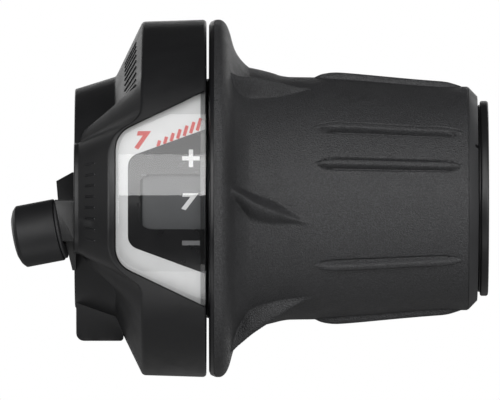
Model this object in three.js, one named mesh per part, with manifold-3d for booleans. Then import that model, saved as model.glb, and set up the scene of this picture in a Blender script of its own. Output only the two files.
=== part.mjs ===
// Seven-speed twist-grip gear shifter for the right-hand end of a flat handlebar.
// Millimetres. The handlebar runs along X and the grip is towards +X. The origin is on the bar's axis, in the
// plane of the clamp's inboard face. The window faces -Y, up is +Z.
// Angles round the bar are measured from the front (-Y) and grow upwards.
import * as THREE from "three";
import { mergeVertices } from "three/addons/utils/BufferGeometryUtils.js";
import { ConvexGeometry } from "three/addons/geometries/ConvexGeometry.js";
import Module from "manifold-3d";

const wasm = await Module();
wasm.setup();

// ---- driving dimensions -------------------------------------------------------------------------------
const BAR_BORE_R = 11.25; // clamps a 22.2 mm bar
const CLAMP_R0 = 16.8; // clamp radius at the inboard face
const CLAMP_TAPER = 0.31; // growth of that radius per millimetre outboard
const DISC_R0 = 27.2;
const DISC_R1 = 27.5;
const DISC_X0 = 10.4;
const DISC_X1 = 20.2;
const CLAMP_X1 = 6.3; // where the cone starts, away from the window
const FLOOR_X = 8.2; // bottom of the cavity
const CAVITY_R = 25.7;
const CAVITY_X = 10.5; // where its wall becomes straight
const EAR = { x0: 0.2, x1: 7.4, y0: -6.2, lean: 2.7, y1: 6.5, z0: -21.9, z1: -13 };
const BOLT = { x: 3.75, z: -17, r: 1.95 };
const GEARS = 7;
const STEP_DEG = 12.4; // grip turn per gear
const SLEEVE_R = 12.2;
const TUBE_R0 = 12.4;
const TUBE_R1 = 14.4;
const FLANGE_X0 = 20.6;
const FLANGE_X1 = 21.3;
const GRIP_X1 = 60.4;
const LIP_X0 = 60.6; // the tube ends in a bevelled lip outboard of the rubber
const LIP_X1 = 61.85;
const GRIP_BORE_R = 14.6;
const END_X0 = 62.25;
const END_BOSS = { x: 62.1, r: 14.4 }; // it stands in towards the tube
const END_X1 = 63.5;
const END_R = 15;
const RING_R = 24.9; // radius that carries the gear numbers
const DETENT_R = 17.6;
const DETENT_DEG = 180; // the click spring sits at the back
const RIB_OFFSET_DEG = 9.5;
const RIB_HALF_DEG = 2.3;
const GROUP_DEG = 26.3; // middle of a rib group, repeated three times
const LENS_R = 28.0;
const WINDOW_X1 = 20.3;
const LENS_BEVEL = 0.65;

// The cable adjuster's own frame: origin in the block's face, axis pointing away from the housing.
const CABLE_ORIGIN = new THREE.Vector3(-1.74, -17.8, -4.66);
const CABLE_AXIS = new THREE.Vector3(-0.975, 0.12, -0.186).normalize();

const COLOURS = {
  shell: [0x26272a, 0.5, 0],
  rubber: [0x404144, 0.85, 0],
  tube: [0x1c1d1f, 0.5, 0],
  inner: [0x33353a, 0.55, 0],
  white: [0xe9eaea, 0.5, 0],
  panel: [0x1b1c1e, 0.35, 0],
  ring: [0x55585b, 0.5, 0],
  lens: [0xb9c0c4, 0.08, 0],
  steel: [0xb4b6b8, 0.3, 1],
  brass: [0xb08d4a, 0.35, 1],
  liner: [0xd8d8d2, 0.5, 0],
};

// ---- solids -------------------------------------------------------------------------------------------
const radians = THREE.MathUtils.degToRad;

// A geometry as a manifold solid, turned right side out.
function solid(geometry) {
  const bare = geometry.index ? geometry.toNonIndexed() : geometry.clone();
  bare.deleteAttribute("normal");
  bare.deleteAttribute("uv");
  const merged = mergeVertices(bare, 1e-4);
  const p = merged.attributes.position.array;
  const t = new Uint32Array(merged.index.array);
  let six = 0;
  for (let i = 0; i < t.length; i += 3) {
    const [a, b, c] = [0, 1, 2].map((k) => new THREE.Vector3().fromArray(p, 3 * t[i + k]));
    six += a.dot(b.cross(c));
  }
  if (six < 0) for (let i = 0; i < t.length; i += 3) [t[i + 1], t[i + 2]] = [t[i + 2], t[i + 1]];
  return new wasm.Manifold(new wasm.Mesh({ numProp: 3, vertProperties: new Float32Array(p), triVerts: t }));
}

function geometryOf(made) {
  const mesh = made.getMesh();
  const g = new THREE.BufferGeometry();
  const points = new Float32Array(mesh.numVert * 3);
  for (let i = 0; i < mesh.numVert; i++) {
    points.set(mesh.vertProperties.subarray(i * mesh.numProp, i * mesh.numProp + 3), i * 3);
  }
  g.setAttribute("position", new THREE.BufferAttribute(points, 3));
  g.setIndex(new THREE.BufferAttribute(new Uint32Array(mesh.triVerts), 1));
  const flat = g.toNonIndexed();
  flat.computeVertexNormals();
  return flat;
}

// A point from its place along the bar, its radius and its angle from the front.
function polar(x, r, degrees) {
  const a = radians(degrees);
  return [x, -r * Math.cos(a), r * Math.sin(a)];
}

// A closed skin over rows of points: every row has the same length, and rows and columns both wrap round.
function skin(rows) {
  const columns = rows[0].length;
  const index = [];
  rows.forEach((_, i) => {
    for (let j = 0; j < columns; j++) {
      const i2 = (i + 1) % rows.length;
      const j2 = (j + 1) % columns;
      const [a, b, c, d] = [i * columns + j, i2 * columns + j, i2 * columns + j2, i * columns + j2];
      index.push(a, b, c, a, c, d);
    }
  });
  const g = new THREE.BufferGeometry();
  g.setAttribute("position", new THREE.BufferAttribute(new Float32Array(rows.flat(2)), 3));
  g.setIndex(index);
  return solid(g);
}

// A ring round the bar from a closed profile of [x, r] points.
function ring(profile, segments = 40) {
  const rows = [];
  for (let i = 0; i < segments; i++) {
    rows.push(profile.map(([x, r]) => polar(x, r, (360 * i) / segments)));
  }
  return skin(rows);
}

// A plain ring with square edges.
const band = (x0, x1, r0, r1, segments) => ring([[x0, r0], [x0, r1], [x1, r1], [x1, r0]], segments);

// Part of a ring between two angles.
function sector(x0, x1, r0, r1, from, to, steps = 8) {
  const shape = new THREE.Shape();
  for (let i = 0; i <= steps; i++) {
    const [, y, z] = polar(0, r1, from + ((to - from) * i) / steps);
    if (i) shape.lineTo(y, z);
    else shape.moveTo(y, z);
  }
  for (let i = steps; i >= 0; i--) {
    const [, y, z] = polar(0, r0, from + ((to - from) * i) / steps);
    shape.lineTo(y, z);
  }
  return alongX(shape, x0, x1);
}

// A flat shape from its corners.
const flat = (points) => new THREE.Shape(points.map(([u, v]) => new THREE.Vector2(u, v)));

// A flat shape in Y and Z, pulled along X.
function alongX(shape, x0, x1) {
  const g = new THREE.ExtrudeGeometry(shape, { depth: x1 - x0, bevelEnabled: false, curveSegments: 8 });
  const [x, y, z] = [new THREE.Vector3(1, 0, 0), new THREE.Vector3(0, 1, 0), new THREE.Vector3(0, 0, 1)];
  g.applyMatrix4(new THREE.Matrix4().makeBasis(y, z, x));
  return solid(g.translate(x0, 0, 0));
}

// A flat outline in X and Z, pulled along Y.
function alongY(points, y0, y1) {
  const g = new THREE.ExtrudeGeometry(flat(points), { depth: y1 - y0, bevelEnabled: false });
  return solid(g.rotateX(Math.PI / 2).translate(0, y1, 0));
}

function box(x0, x1, y0, y1, z0, z1) {
  const g = new THREE.BoxGeometry(x1 - x0, y1 - y0, z1 - z0);
  return solid(g.translate((x0 + x1) / 2, (y0 + y1) / 2, (z0 + z1) / 2));
}

// A round bar along Y, from y0 to y1.
function pinY(x, z, r, y0, y1, segments = 20) {
  return solid(new THREE.CylinderGeometry(r, r, y1 - y0, segments).translate(x, (y0 + y1) / 2, z));
}

// A round bar along X at a radius and angle round the bar.
function pinX(radius, degrees, r, x0, x1, segments = 16) {
  const [, y, z] = polar(0, radius, degrees);
  const g = new THREE.CylinderGeometry(r, r, x1 - x0, segments).rotateZ(Math.PI / 2);
  return solid(g.translate((x0 + x1) / 2, y, z));
}

// A body turned round the cable adjuster's axis from a closed profile of [distance, r] points.
function onCable(profile, segments = 24) {
  const turn = new THREE.Quaternion().setFromUnitVectors(new THREE.Vector3(1, 0, 0), CABLE_AXIS);
  const rows = [];
  for (let i = 0; i < segments; i++) {
    rows.push(
      profile.map(([s, r]) =>
        new THREE.Vector3(...polar(s, r, (360 * i) / segments))
          .applyQuaternion(turn)
          .add(CABLE_ORIGIN)
          .toArray(),
      ),
    );
  }
  return skin(rows);
}

// A round cutter on the adjuster's axis.
function cableHole(s0, s1, r, segments = 20) {
  const from = CABLE_ORIGIN.clone().addScaledVector(CABLE_AXIS, s0);
  const to = CABLE_ORIGIN.clone().addScaledVector(CABLE_AXIS, s1);
  const g = new THREE.CylinderGeometry(r, r, s1 - s0, segments);
  const turn = new THREE.Quaternion().setFromUnitVectors(new THREE.Vector3(0, 1, 0), CABLE_AXIS);
  const middle = from.add(to).multiplyScalar(0.5);
  return solid(g.applyQuaternion(turn).translate(middle.x, middle.y, middle.z));
}

// A value read off a table of [at, value] pairs, straight between them.
function table(pairs, at) {
  if (at <= pairs[0][0]) return pairs[0][1];
  for (let i = 1; i < pairs.length; i++) {
    const [[a, va], [b, vb]] = [pairs[i - 1], pairs[i]];
    if (at <= b) return va + ((vb - va) * (at - a)) / (b - a);
  }
  return pairs[pairs.length - 1][1];
}

// ---- housing ------------------------------------------------------------------------------------------
// Where the cone starts and where it meets the disc, by angle from the front: both reach inboard at the
// window, to make room for it.
const FOOT_UP = [[26, 0.7], [30.6, 0.85], [37.4, 1.6], [40.7, 3.2], [43.5, 5.5], [50, CLAMP_X1]];
const FOOT_DOWN = [[24, 0.7], [30, 1.4], [38, 3.1], [41.6, 4.6], [44.3, 5.6], [52, CLAMP_X1]];
const CREST_UP = [[15, 5.3], [20, 6.0], [23, 7.3], [26, 9.4], [29, 10.2], [33, DISC_X0]];
const CREST_DOWN = [[15, 5.3], [20, 5.8], [23.5, 6.9], [27, 8.6], [29.5, 9.9], [33, DISC_X0]];
// Radius of the inboard edge: beside the window the cone runs off the edge while it is still high.
const EDGE_R = [[0, 22.6], [12, 22.5], [17, 22.2], [22, 21.2], [26, 19.2], [30, CLAMP_R0]];

// The outline of the window seen from the front, as [x, z], pulled in by a margin.
function windowOutline(margin) {
  const points = [
    [6.25, -7.4], [6.6, -8.9], [7.6, -10.3], [9.1, -11.4], [WINDOW_X1, -16.8],
    [WINDOW_X1, 16.65], [10.3, 11.85], [8.1, 10.6], [6.7, 8.9], [6.25, 7.2],
  ];
  return points.map(([x, z], i) => {
    const [ax, az] = points[(i + points.length - 1) % points.length];
    const [bx, bz] = points[(i + 1) % points.length];
    const n1 = new THREE.Vector2(-(z - az), x - ax).normalize();
    const n2 = new THREE.Vector2(-(bz - z), bx - x).normalize();
    const out = n1.clone().add(n2);
    out.multiplyScalar(margin / (1 + n1.dot(n2)));
    return [x + out.x, z + out.y];
  });
}

function housingShell() {
  const angles = [];
  for (let a = -50; a <= 50; a += Math.abs(a) > 13 && Math.abs(a) < 47 ? 2.5 : 5) angles.push(a);
  for (let a = 56; a < 308; a += 6) angles.push(a);
  const rows = angles.map((a) => {
    const off = Math.abs(a > 180 ? a - 360 : a);
    const up = a > 0 && a < 180;
    const foot = table(up ? FOOT_UP : FOOT_DOWN, off);
    const crest = table(up ? CREST_UP : CREST_DOWN, off);
    const edge = table(EDGE_R, off);
    const footR = edge + CLAMP_TAPER * foot;
    return [
      [0, BAR_BORE_R], [0, edge - 0.4], [0.4, edge + 0.1], [foot, footR],
      [crest - 0.25, DISC_R0 - 0.5], [crest + 0.3, DISC_R0], [DISC_X1 - 0.5, DISC_R1], [DISC_X1, DISC_R1 - 0.5],
      [DISC_X1, CAVITY_R], [CAVITY_X, CAVITY_R], [FLOOR_X, 19.9], [FLOOR_X, BAR_BORE_R],
    ].map(([x, r]) => polar(x, r, a));
  });
  return skin(rows);
}

// The lug the clamp bolt pulls together, with its rounded inboard corner and a front that leans back.
function clampEar() {
  const { x0, x1, y0, lean, y1, z0, z1 } = EAR;
  const outline = [[x0, z1], [x0, z0 + 1.2], [x0 + 0.35, z0 + 0.35], [x0 + 1.2, z0], [x1, z0], [x1, z1]];
  const side = [[y0, z1], [y0 + lean, z0], [y1, z0], [y1, z1]];
  const lug = alongY(outline, y0, y1).intersect(alongX(flat(side), -1, 9));
  return lug.subtract(band(-1, FLOOR_X, 1, BAR_BORE_R, 60));
}

// The block on the inboard side that carries the cable adjuster, trimmed square to the adjuster's axis:
// a back plate whose front falls away above and below, and a tall neck round the adjuster's screw.
function cableBlock() {
  const outline = [[-5, 1.4], [-0.3, 4.0], [0.3, 4.0], [0.3, -11], [-0.4, -11], [-1.4, -8.9], [-5, -8.1]];
  const side = [[-12.6, 4.0], [-13.6, 4.0], [-16.8, -0.2], [-17.4, -6.6], [-15.6, -11], [-12.6, -11]];
  const neck = box(-5, 0.3, -20.5, -13.6, -6.6, -0.2);
  return alongY(outline, -18, -12.6).intersect(alongX(flat(side), -6, 1)).add(neck).subtract(cableHole(0, 9, 12));
}

function windowPocket() {
  const cut = alongY(windowOutline(0), -32, -16).add(box(WINDOW_X1 - 0.2, 21, -32, -16, -16.7, 16.55));
  return cut.subtract(band(0, 22, 1, RING_R + 0.05, 72));
}

function housingBody() {
  const screws = [-14, 14].map((a) => DETENT_DEG + a);
  let made = housingShell().add(clampEar()).add(cableBlock());
  made = made
    .subtract(windowPocket())
    .subtract(box(-4, 7.2, -0.8, 0.8, -23, -10))
    .subtract(pinY(BOLT.x, BOLT.z, 2.15, -0.9, 7))
    .subtract(pinY(BOLT.x, BOLT.z, 3.1, -3.5, -0.7))
    .subtract(pinY(BOLT.x, BOLT.z, 3.65, EAR.y1, 16))
    .subtract(cableHole(-6, 1, 2.05))
    .subtract(cableHole(-14, -5.9, 1.7))
    .subtract(plugHole());
  for (const a of screws) {
    made = made.subtract(pinX(20.5, a, 1.75, 4, 7.5)).subtract(pinX(20.5, a, 0.95, 7, 12));
  }
  return made;
}

// Radial hole for the cable-change plug, at the back.
const PLUG = { x: 15, deg: 128, r: 2.4 };
function radialPin(r, from, to, segments = 20) {
  const g = new THREE.CylinderGeometry(r, r, to - from, segments);
  const out = new THREE.Vector3(...polar(0, 1, PLUG.deg));
  const turn = new THREE.Quaternion().setFromUnitVectors(new THREE.Vector3(0, 1, 0), out);
  const at = out.multiplyScalar((from + to) / 2);
  return solid(g.applyQuaternion(turn).translate(PLUG.x, at.y, at.z));
}
const plugHole = () => radialPin(PLUG.r, 24.5, 30);
const portPlug = () => radialPin(PLUG.r - 0.12, 25.75, 27.9);

// ---- dial and window ----------------------------------------------------------------------------------
const plate = (outline, r0, r1) => alongY(outline, -32, -12).intersect(band(0, 22, r0, r1, 96));
const APERTURE = [
  [9.85, 2.2], [9.85, -3], [10.5, -4.25], [11.8, -4.7], [22, -4.7], [22, 3.9], [11.8, 3.9], [10.5, 3.5],
];
const PANEL = [
  [8.3, 4.0], [8.3, -5.0], [8.8, -6.8], [10.2, -7.85], [20.0, -11.5], [20.0, 10.5], [10.4, 7.0], [8.9, 5.9],
];

function dialPlate() {
  return plate(windowOutline(0.1), 25.05, 25.6).subtract(alongY(APERTURE, -32, -12));
}

function dialPanel() {
  return plate(PANEL, 25.68, 25.85).subtract(alongY(APERTURE, -32, -12));
}

// A clear cover, curved round the bar, with a bevelled rim.
function windowLens() {
  const points = [];
  const lift = (x, z, r) => points.push(new THREE.Vector3(x, -Math.sqrt(r * r - z * z), z));
  const rim = windowOutline(0.12);
  for (const [x, z] of rim) {
    lift(x, z, 25.0);
    lift(x, z, LENS_R - 0.5);
  }
  const top = windowOutline(LENS_BEVEL);
  for (const [x, z] of top) lift(x, z, LENS_R);
  for (let z = -16; z <= 16; z += 2) {
    const left = leftOf(top, z);
    if (left === null) continue;
    lift(left, z, LENS_R);
    lift(WINDOW_X1 - LENS_BEVEL, z, LENS_R);
    lift(WINDOW_X1 - 0.12, z, LENS_R - 0.5);
    lift(WINDOW_X1 - 0.12, z, 25.0);
  }
  return solid(new ConvexGeometry(points)).subtract(band(0, 22, 1, 25.95, 96));
}

// The leftmost x of an outline at a height, or null where the outline doesn't reach.
function leftOf(outline, z) {
  const hits = [];
  outline.forEach(([x, a], i) => {
    const [x2, b] = outline[(i + 1) % outline.length];
    if (a !== b && (z - a) * (z - b) <= 0) hits.push(x + ((x2 - x) * (z - a)) / (b - a));
  });
  return hits.length ? Math.min(...hits) : null;
}

function indicatorRing() {
  return ring(
    [
      [9.9, 22.0], [9.9, 23.2], [10.6, 24.65], [10.9, RING_R], [20.0, RING_R], [20.4, 24.5],
      [20.4, 14.6], [19.2, 14.6], [19.2, 23.4], [11.4, 23.4],
    ],
    60,
  );
}

// ---- drive --------------------------------------------------------------------------------------------
function cableDrum() {
  return ring(
    [
      [8.9, 12.5], [8.9, 15.6], [10.1, 15.6], [10.6, 13.3], [11.4, 13.3], [11.9, 15.6], [13.6, 15.6], [13.6, 12.5],
    ],
    40,
  );
}

// The click ring: one notch for each gear.
function indexRing() {
  let made = band(13.75, 17.2, 12.5, DETENT_R, 60);
  for (let k = 0; k < GEARS; k++) {
    made = made.subtract(pinX(17.95, DETENT_DEG + k * STEP_DEG, 0.9, 13, 18, 12));
  }
  return made;
}

function detentSpring() {
  const leaf = sector(14.1, 16.9, 18.6, 18.85, DETENT_DEG - 30, DETENT_DEG + 30, 16);
  return leaf.add(pinX(17.98, DETENT_DEG, 0.72, 14.1, 16.9, 12));
}

function detentCarrier() {
  const span = 34;
  const [from, to] = [DETENT_DEG - span, DETENT_DEG + span];
  let made = sector(9.6, 17.2, 19.05, 21.8, from, to, 12);
  made = made.subtract(sector(14, 17.3, 18, 20.4, DETENT_DEG - 22, DETENT_DEG + 22, 12));
  for (const a of [-14, 14]) made = made.subtract(pinX(20.5, DETENT_DEG + a, 0.9, 9, 13));
  return made;
}

function carrierScrew(angle) {
  const at = DETENT_DEG + angle;
  const socket = pinX(20.5, at, 0.6, 5, 7.1, 6);
  return pinX(20.5, at, 1.6, 6.5, 7.4).add(pinX(20.5, at, 0.8, 7.3, 12.6)).subtract(socket);
}

function gripTube() {
  return ring(
    [
      [17.9, TUBE_R0], [17.9, 13.8], [FLANGE_X0, 13.8], [FLANGE_X0, DISC_R0 - 0.6], [21.1, DISC_R0 + 0.1],
      [FLANGE_X1, DISC_R0 + 0.15], [FLANGE_X1, TUBE_R1], [LIP_X0, TUBE_R1], [LIP_X0, 17.05], [LIP_X1, 15.7],
      [LIP_X1, TUBE_R0],
    ],
    56,
  );
}

// ---- rubber cover -------------------------------------------------------------------------------------
const GRIP_BASE = [
  [21.4, 27.0], [21.7, 27.42], [22.3, 27.5], [22.95, 27.1], [23.5, 26.3], [23.95, 25.0], [24.5, 23.05],
  [25.2, 21.75], [26.1, 20.7], [27.0, 20.02], [28.8, 19.55], [30.8, 19.08], [32.8, 18.72], [36.9, 18.62],
  [37.8, 18.55], [39.6, 18.45], [43.5, 18.22], [49, 17.9], [54.5, 17.55], [57.2, 17.38], [58.4, 17.3],
  [59.3, 17.25], [60.2, 17.2], [GRIP_X1, 17.1],
];
const FIN_CREST = [[24, 24.8], [26.9, 23], [28.8, 22], [30.8, 21], [33, 19.7], [36.9, 18.62]];
const FIN_CREST_DEG = [[24, 23.6], [25.5, 24.6], [27.5, 28], [30.8, 32], [36.9, 37.8]];
const FIN_INNER_DEG = [[24, 21.2], [27.5, 24.4], [30.8, 28], [33, 33], [36.9, 37.6]];
const FIN_OUTER_DEG = [[24, 27], [25.5, 30.5], [27, 36], [30.8, 38.4], [36.9, 38.6]];
const RIB_HEIGHT = [[36.9, 0], [37.8, 0.6], [39.6, 0.88], [57.2, 0.76], [58.4, 0.5], [59.3, 0]];

// Offsets from a group's middle with the height each one stands above the plain grip at this x.
function gripStations(x, base) {
  const rib = table(RIB_HEIGHT, x);
  const fin = x < 24 || x > 36.9 ? 0 : Math.max(0, table(FIN_CREST, x) - base);
  const crest = table(FIN_CREST_DEG, x);
  const inner = table(FIN_INNER_DEG, x);
  const [w, c] = [RIB_HALF_DEG, RIB_OFFSET_DEG];
  return [
    [0, 0], [c - w, 0], [c - w * 0.45, rib], [c + w * 0.45, rib], [c + w, 0], [16.5, 0],
    [(16.5 + inner) / 2, 0], [inner, 0], [crest - 0.9, fin * 0.93], [crest + 0.5, fin], [crest + 2.4, fin * 0.8],
    [Math.max(table(FIN_OUTER_DEG, x), crest + 3.2), 0],
    [46, 0], [52, 0], [60 - w, 0], [60 - w * 0.45, rib], [60 + w * 0.45, rib], [60 + w, 0],
  ];
}

// One ring of angles and heights: each group, then its mirror image up to the next single rib.
function gripRow(x, base) {
  const half = gripStations(x, base);
  const mirrored = half.slice(1, -3).reverse().map(([a, h]) => [-a, h]);
  const whole = [...mirrored, ...half];
  const row = [];
  for (let k = 0; k < 3; k++) {
    for (const [a, h] of whole) row.push(polar(x, base + h, GROUP_DEG + 120 * k + a));
  }
  return row;
}

function gripRubber() {
  const outer = GRIP_BASE.map(([x, r]) => gripRow(x, r));
  const bore = [GRIP_X1, 21.4].map((x) => gripRow(x, GRIP_BORE_R));
  return skin([...outer, ...bore]);
}

// ---- small turned parts -------------------------------------------------------------------------------
function endFlange() {
  return ring(
    [
      [END_BOSS.x, BAR_BORE_R], [END_BOSS.x, END_BOSS.r], [END_X0, END_BOSS.r + 0.05], [END_X0, END_R - 0.3],
      [END_X0 + 0.3, END_R], [END_X1 - 0.3, END_R],
      [END_X1, END_R - 0.3], [END_X1, BAR_BORE_R],
    ],
    56,
  );
}

function clampBolt() {
  const { x, z, r } = BOLT;
  const hex = pinY(x, z, 1.7, 8.6, 12, 6);
  return pinY(x, z, r, -3.1, 7.4).add(pinY(x, z, 3.3, 7.35, 10.9, 24)).subtract(hex);
}

const clampWasher = () => pinY(BOLT.x, BOLT.z, 3.5, 6.6, 7.25, 24).subtract(pinY(BOLT.x, BOLT.z, 2.1, 6, 8));
const clampInsert = () => pinY(BOLT.x, BOLT.z, 3.0, -3.4, -1.0, 12).subtract(pinY(BOLT.x, BOLT.z, 2.1, -5, 0));

function drumClip() {
  return sector(17.35, 17.8, 12.5, 14.6, 20, 340, 30);
}

function adjusterBarrel() {
  return onCable([
    [0.5, 2.05], [0.5, 4.6], [0.65, 4.75], [6.4, 4.75], [6.7, 4.5], [7.0, 4.05], [7.3, 3.4], [7.4, 3.1],
    [7.4, 2.55], [5.2, 2.55], [5.2, 2.05],
  ]);
}

const adjusterScrew = () => onCable([[-3.8, 0.9], [-3.8, 1.9], [4.2, 1.9], [4.2, 0.9]], 16);
const adjusterSeal = () => onCable([[0.08, 2.3], [0.08, 3.9], [0.2, 4.0], [0.4, 4.0], [0.4, 2.3]], 20);
const cableGuide = () => onCable([[-11.8, 0.8], [-11.8, 1.5], [-6.3, 1.5], [-6.3, 0.8]], 16);

// ---- assembly -----------------------------------------------------------------------------------------
const group = new THREE.Group();
group.name = "twist_shifter";

function add(name, made, colour) {
  const [color, roughness, metalness] = COLOURS[colour];
  const material = new THREE.MeshStandardMaterial({ color, roughness, metalness });
  if (colour === "lens") Object.assign(material, { transparent: true, opacity: 0.35 });
  const mesh = new THREE.Mesh(geometryOf(made), material);
  mesh.name = name;
  group.add(mesh);
}

add("housing_body", housingBody(), "shell");
add("dial_plate", dialPlate(), "white");
add("dial_panel", dialPanel(), "panel");
add("window_lens", windowLens(), "lens");
add("bar_sleeve", band(8.4, 61.95, BAR_BORE_R, SLEEVE_R, 40), "inner");
add("end_flange", endFlange(), "tube");
add("clamp_bolt", clampBolt(), "steel");
add("clamp_washer", clampWasher(), "steel");
add("clamp_insert", clampInsert(), "brass");
add("detent_carrier", detentCarrier(), "inner");
add("detent_spring", detentSpring(), "steel");
add("carrier_screw_1", carrierScrew(-14), "steel");
add("carrier_screw_2", carrierScrew(14), "steel");
add("thrust_washer", band(8.35, 8.75, 12.5, 16.4, 36), "liner");
add("cable_guide", cableGuide(), "liner");
add("adjuster_seal", adjusterSeal(), "rubber");
add("port_plug", portPlug(), "rubber");
add("grip_tube", gripTube(), "tube");
add("grip_rubber", gripRubber(), "rubber");
add("indicator_ring", indicatorRing(), "ring");
add("cable_drum", cableDrum(), "inner");
add("index_ring", indexRing(), "inner");
add("drum_clip", drumClip(), "steel");
add("adjuster_barrel", adjusterBarrel(), "shell");
add("adjuster_screw", adjusterScrew(), "steel");

export default group;
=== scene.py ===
"""Looks of the twist-grip gear shifter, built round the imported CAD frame. Sizes are in millimetres and are
turned into metres when a mesh is made. Angles round the bar start at the front (-Y) and grow upwards."""

import math

import bmesh
import bpy
import numpy as np
from mathutils import Matrix, Vector


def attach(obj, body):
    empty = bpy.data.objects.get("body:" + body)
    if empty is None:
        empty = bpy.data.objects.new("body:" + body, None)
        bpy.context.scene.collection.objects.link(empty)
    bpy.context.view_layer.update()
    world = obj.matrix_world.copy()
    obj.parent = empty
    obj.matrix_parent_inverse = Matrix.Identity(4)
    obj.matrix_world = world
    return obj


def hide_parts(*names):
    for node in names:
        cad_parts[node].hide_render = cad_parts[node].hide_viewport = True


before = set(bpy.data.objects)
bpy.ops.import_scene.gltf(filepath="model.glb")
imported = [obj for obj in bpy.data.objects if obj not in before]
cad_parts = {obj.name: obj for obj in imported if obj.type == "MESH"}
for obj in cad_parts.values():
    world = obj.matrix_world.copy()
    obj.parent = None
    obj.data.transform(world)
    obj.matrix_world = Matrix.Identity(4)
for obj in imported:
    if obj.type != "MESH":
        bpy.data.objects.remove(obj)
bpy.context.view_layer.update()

MM = 0.001
HOUSING, GRIP, KNOB, CORE = "housing", "grip", "adjuster_knob", "adjuster_core"

# ---- dimensions shared with the CAD ------------------------------------------------------------------
BAR_BORE_R = 11.25
CLAMP_R0, CLAMP_TAPER, CLAMP_X1 = 16.8, 0.31, 6.3
DISC_R0, DISC_R1, DISC_X0, DISC_X1 = 27.2, 27.5, 10.4, 20.2
FLOOR_X, CAVITY_X, CAVITY_R = 8.2, 10.5, 25.7
LENS_R, LENS_INNER_R, LENS_X1 = 28.0, 25.98, 20.18
RING_R = 24.9
STEP_DEG, GEARS = 12.4, 7
TUBE_R0, TUBE_R1 = 12.4, 14.4
GRIP_X0, GRIP_X1, GRIP_BORE_R = 21.4, 60.4, 14.6
LIP_X1, END_BOSS_R = 61.85, 14.4
GROUP_DEG, GROUP_STEP_DEG = 26.3, 120  # middle of the first group of ribs and fins, and the step to the next
RIB_OFFSET_DEG, RIB_HALF_DEG = 9.5, 2.3
BOLT_X, BOLT_Z = 3.75, -17.0
SCREW_DEG, SCREW_R = (166, 194), 20.5  # places of the two screws behind
PLUG_X, PLUG_DEG = 15, 128
CABLE_ORIGIN = Vector((-1.74, -17.8, -4.66))
CABLE_AXIS = Vector((-0.975, 0.12, -0.186)).normalized()


# ---- numbers -----------------------------------------------------------------------------------------
def smooth_table(pairs):
    """A smooth curve through [at, value] pairs that never overshoots between them."""
    xs, ys = np.array(pairs, float).T
    h, d = np.diff(xs), np.diff(ys) / np.diff(xs)
    slope = np.zeros(len(xs))
    for i in range(1, len(xs) - 1):
        if d[i - 1] * d[i] > 0:
            w1, w2 = 2 * h[i] + h[i - 1], h[i] + 2 * h[i - 1]
            slope[i] = (w1 + w2) / (w1 / d[i - 1] + w2 / d[i])

    def value(x):
        x = np.clip(np.asarray(x, float), xs[0], xs[-1])
        i = np.clip(np.searchsorted(xs, x, side="right") - 1, 0, len(xs) - 2)
        t = (x - xs[i]) / h[i]
        return (
            ys[i] * (1 + 2 * t) * (1 - t) ** 2
            + slope[i] * h[i] * t * (1 - t) ** 2
            + ys[i + 1] * t * t * (3 - 2 * t)
            + slope[i + 1] * h[i] * t * t * (t - 1)
        )

    return value


def ease(t):
    """A soft step from 0 to 1."""
    t = np.clip(t, 0, 1)
    return t * t * (3 - 2 * t)


def polar(x, r, degrees):
    """Points at a place along the bar, a radius and an angle."""
    a = np.radians(degrees)
    x, r, a = np.broadcast_arrays(x, r, a)
    return np.stack([x, -r * np.cos(a), r * np.sin(a)], -1)


def rounded(corners, steps=4, closed=True):
    """Points of an outline whose corners are [u, v, radius], each turned into a short arc."""
    out, n = [], len(corners)
    for i, (u, v, radius) in enumerate(corners):
        p = np.array([u, v], float)
        if radius <= 0 or (not closed and i in (0, n - 1)):
            out.append(p)
            continue
        a = np.array(corners[(i - 1) % n][:2], float) - p
        b = np.array(corners[(i + 1) % n][:2], float) - p
        la, lb = np.linalg.norm(a), np.linalg.norm(b)
        a, b = a / la, b / lb
        half = math.acos(max(-1.0, min(1.0, float(a @ b)))) / 2
        reach = min(radius / math.tan(half), 0.48 * la, 0.48 * lb)
        r = reach * math.tan(half)
        centre = p + (a + b) / np.linalg.norm(a + b) * r / math.sin(half)
        start, end = p + a * reach - centre, p + b * reach - centre
        turn = math.acos(max(-1.0, min(1.0, float(start @ end) / (r * r))))
        for k in range(steps + 1):
            t = k / steps
            w = (math.sin((1 - t) * turn), math.sin(t * turn))
            out.append(centre + (start * w[0] + end * w[1]) / math.sin(turn))
    return np.array(out)


def inset(corners, margin):
    """The same outline with every side moved inwards, for corners listed anticlockwise."""
    n, out = len(corners), []
    for i, (u, v, radius) in enumerate(corners):
        p = np.array([u, v], float)
        d1 = p - np.array(corners[i - 1][:2], float)
        d2 = np.array(corners[(i + 1) % n][:2], float) - p
        n1 = np.array([-d1[1], d1[0]]) / np.linalg.norm(d1)
        n2 = np.array([-d2[1], d2[0]]) / np.linalg.norm(d2)
        q = p + (n1 + n2) * margin / (1 + n1 @ n2)
        out.append([q[0], q[1], max(radius - margin, 0.05)])
    return out


# ---- meshes ------------------------------------------------------------------------------------------
SMOOTH_DEG = 35  # faces that meet at a wider angle than this share a sharp edge
MERGE = 0.002  # points closer than this become one after a cut


def signed_volume(mesh):
    """The volume inside a closed mesh, negative when its faces look inwards."""
    mesh.calc_loop_triangles()
    v = np.empty(len(mesh.vertices) * 3)
    mesh.vertices.foreach_get("co", v)
    t = np.empty(len(mesh.loop_triangles) * 3, np.int32)
    mesh.loop_triangles.foreach_get("vertices", t)
    p = v.reshape(-1, 3)[t.reshape(-1, 3)]
    return float(np.einsum("ij,ij->i", p[:, 0], np.cross(p[:, 1], p[:, 2])).sum()) / 6


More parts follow.
